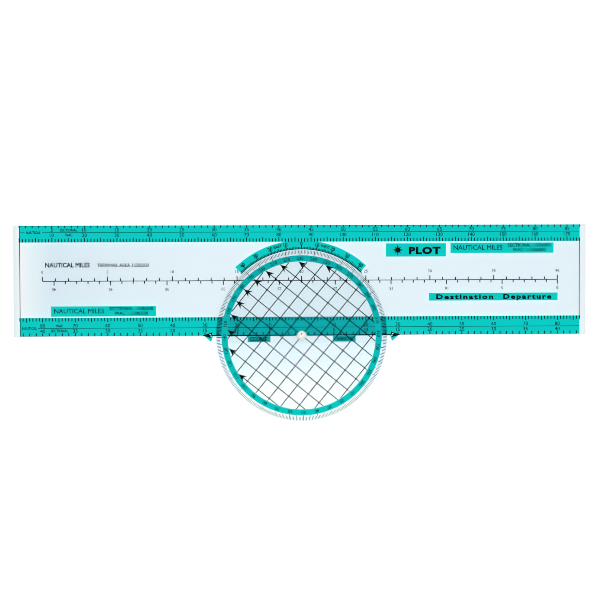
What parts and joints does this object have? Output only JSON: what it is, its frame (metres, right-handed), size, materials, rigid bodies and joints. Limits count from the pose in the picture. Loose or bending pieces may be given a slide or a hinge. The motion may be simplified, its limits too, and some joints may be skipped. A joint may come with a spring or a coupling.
{
  "type": "navigation plotter",
  "caption": "Clear plastic chart plotter: a flat ruler with printed distance scales and a clear azimuth disc that turns on an eyelet at the middle of its lower edge.",
  "frame": {"origin": "pivot axis of the azimuth disc, in the plane that the plate's underside rests on", "axes": "+X along the ruler towards the right end as read, +Y from the pivot towards the top scale, +Z out of the printed face along the pivot axis"},
  "size_m": [0.329, 0.1127, 0.0033],
  "materials": {
    "clear_plate": "clear polished sheet, faintly blue",
    "clear_disc": "clear polished sheet",
    "teal_ink": "screen printed ink",
    "black_ink": "screen printed ink",
    "eyelet_enamel": "smooth cream enamel",
    "spacer_plastic": "natural nylon",
    "washer_metal": "plain stamped"
  },
  "bodies": {
    "ruler": {"ruler_plate": "clear_plate", "pivot_eyelet": "eyelet_enamel", "spacer_washer": "spacer_plastic", "back_washer": "washer_metal", "top_scale_band": "teal_ink", "bottom_scale_band": "teal_ink", "variation_arc_band": "teal_ink", "lower_label_panel": "teal_ink", "upper_label_panel": "teal_ink", "title_panel": "teal_ink", "route_label_panel": "teal_ink", "course_label_panels": "teal_ink", "course_nibs": "teal_ink", "course_line": "black_ink", "end_lines": "black_ink", "area_scale_line": "black_ink"},
    "azimuth_disc": {"azimuth_disc": "clear_disc", "azimuth_ring_band": "teal_ink"}
  },
  "joints": [
    {"name": "azimuth_spin", "type": "hinge", "parent": "ruler", "child": "azimuth_disc", "pos_m": [0, 0, 0.0023], "axis": [0, 0, 1], "continuous": true}
  ]
}
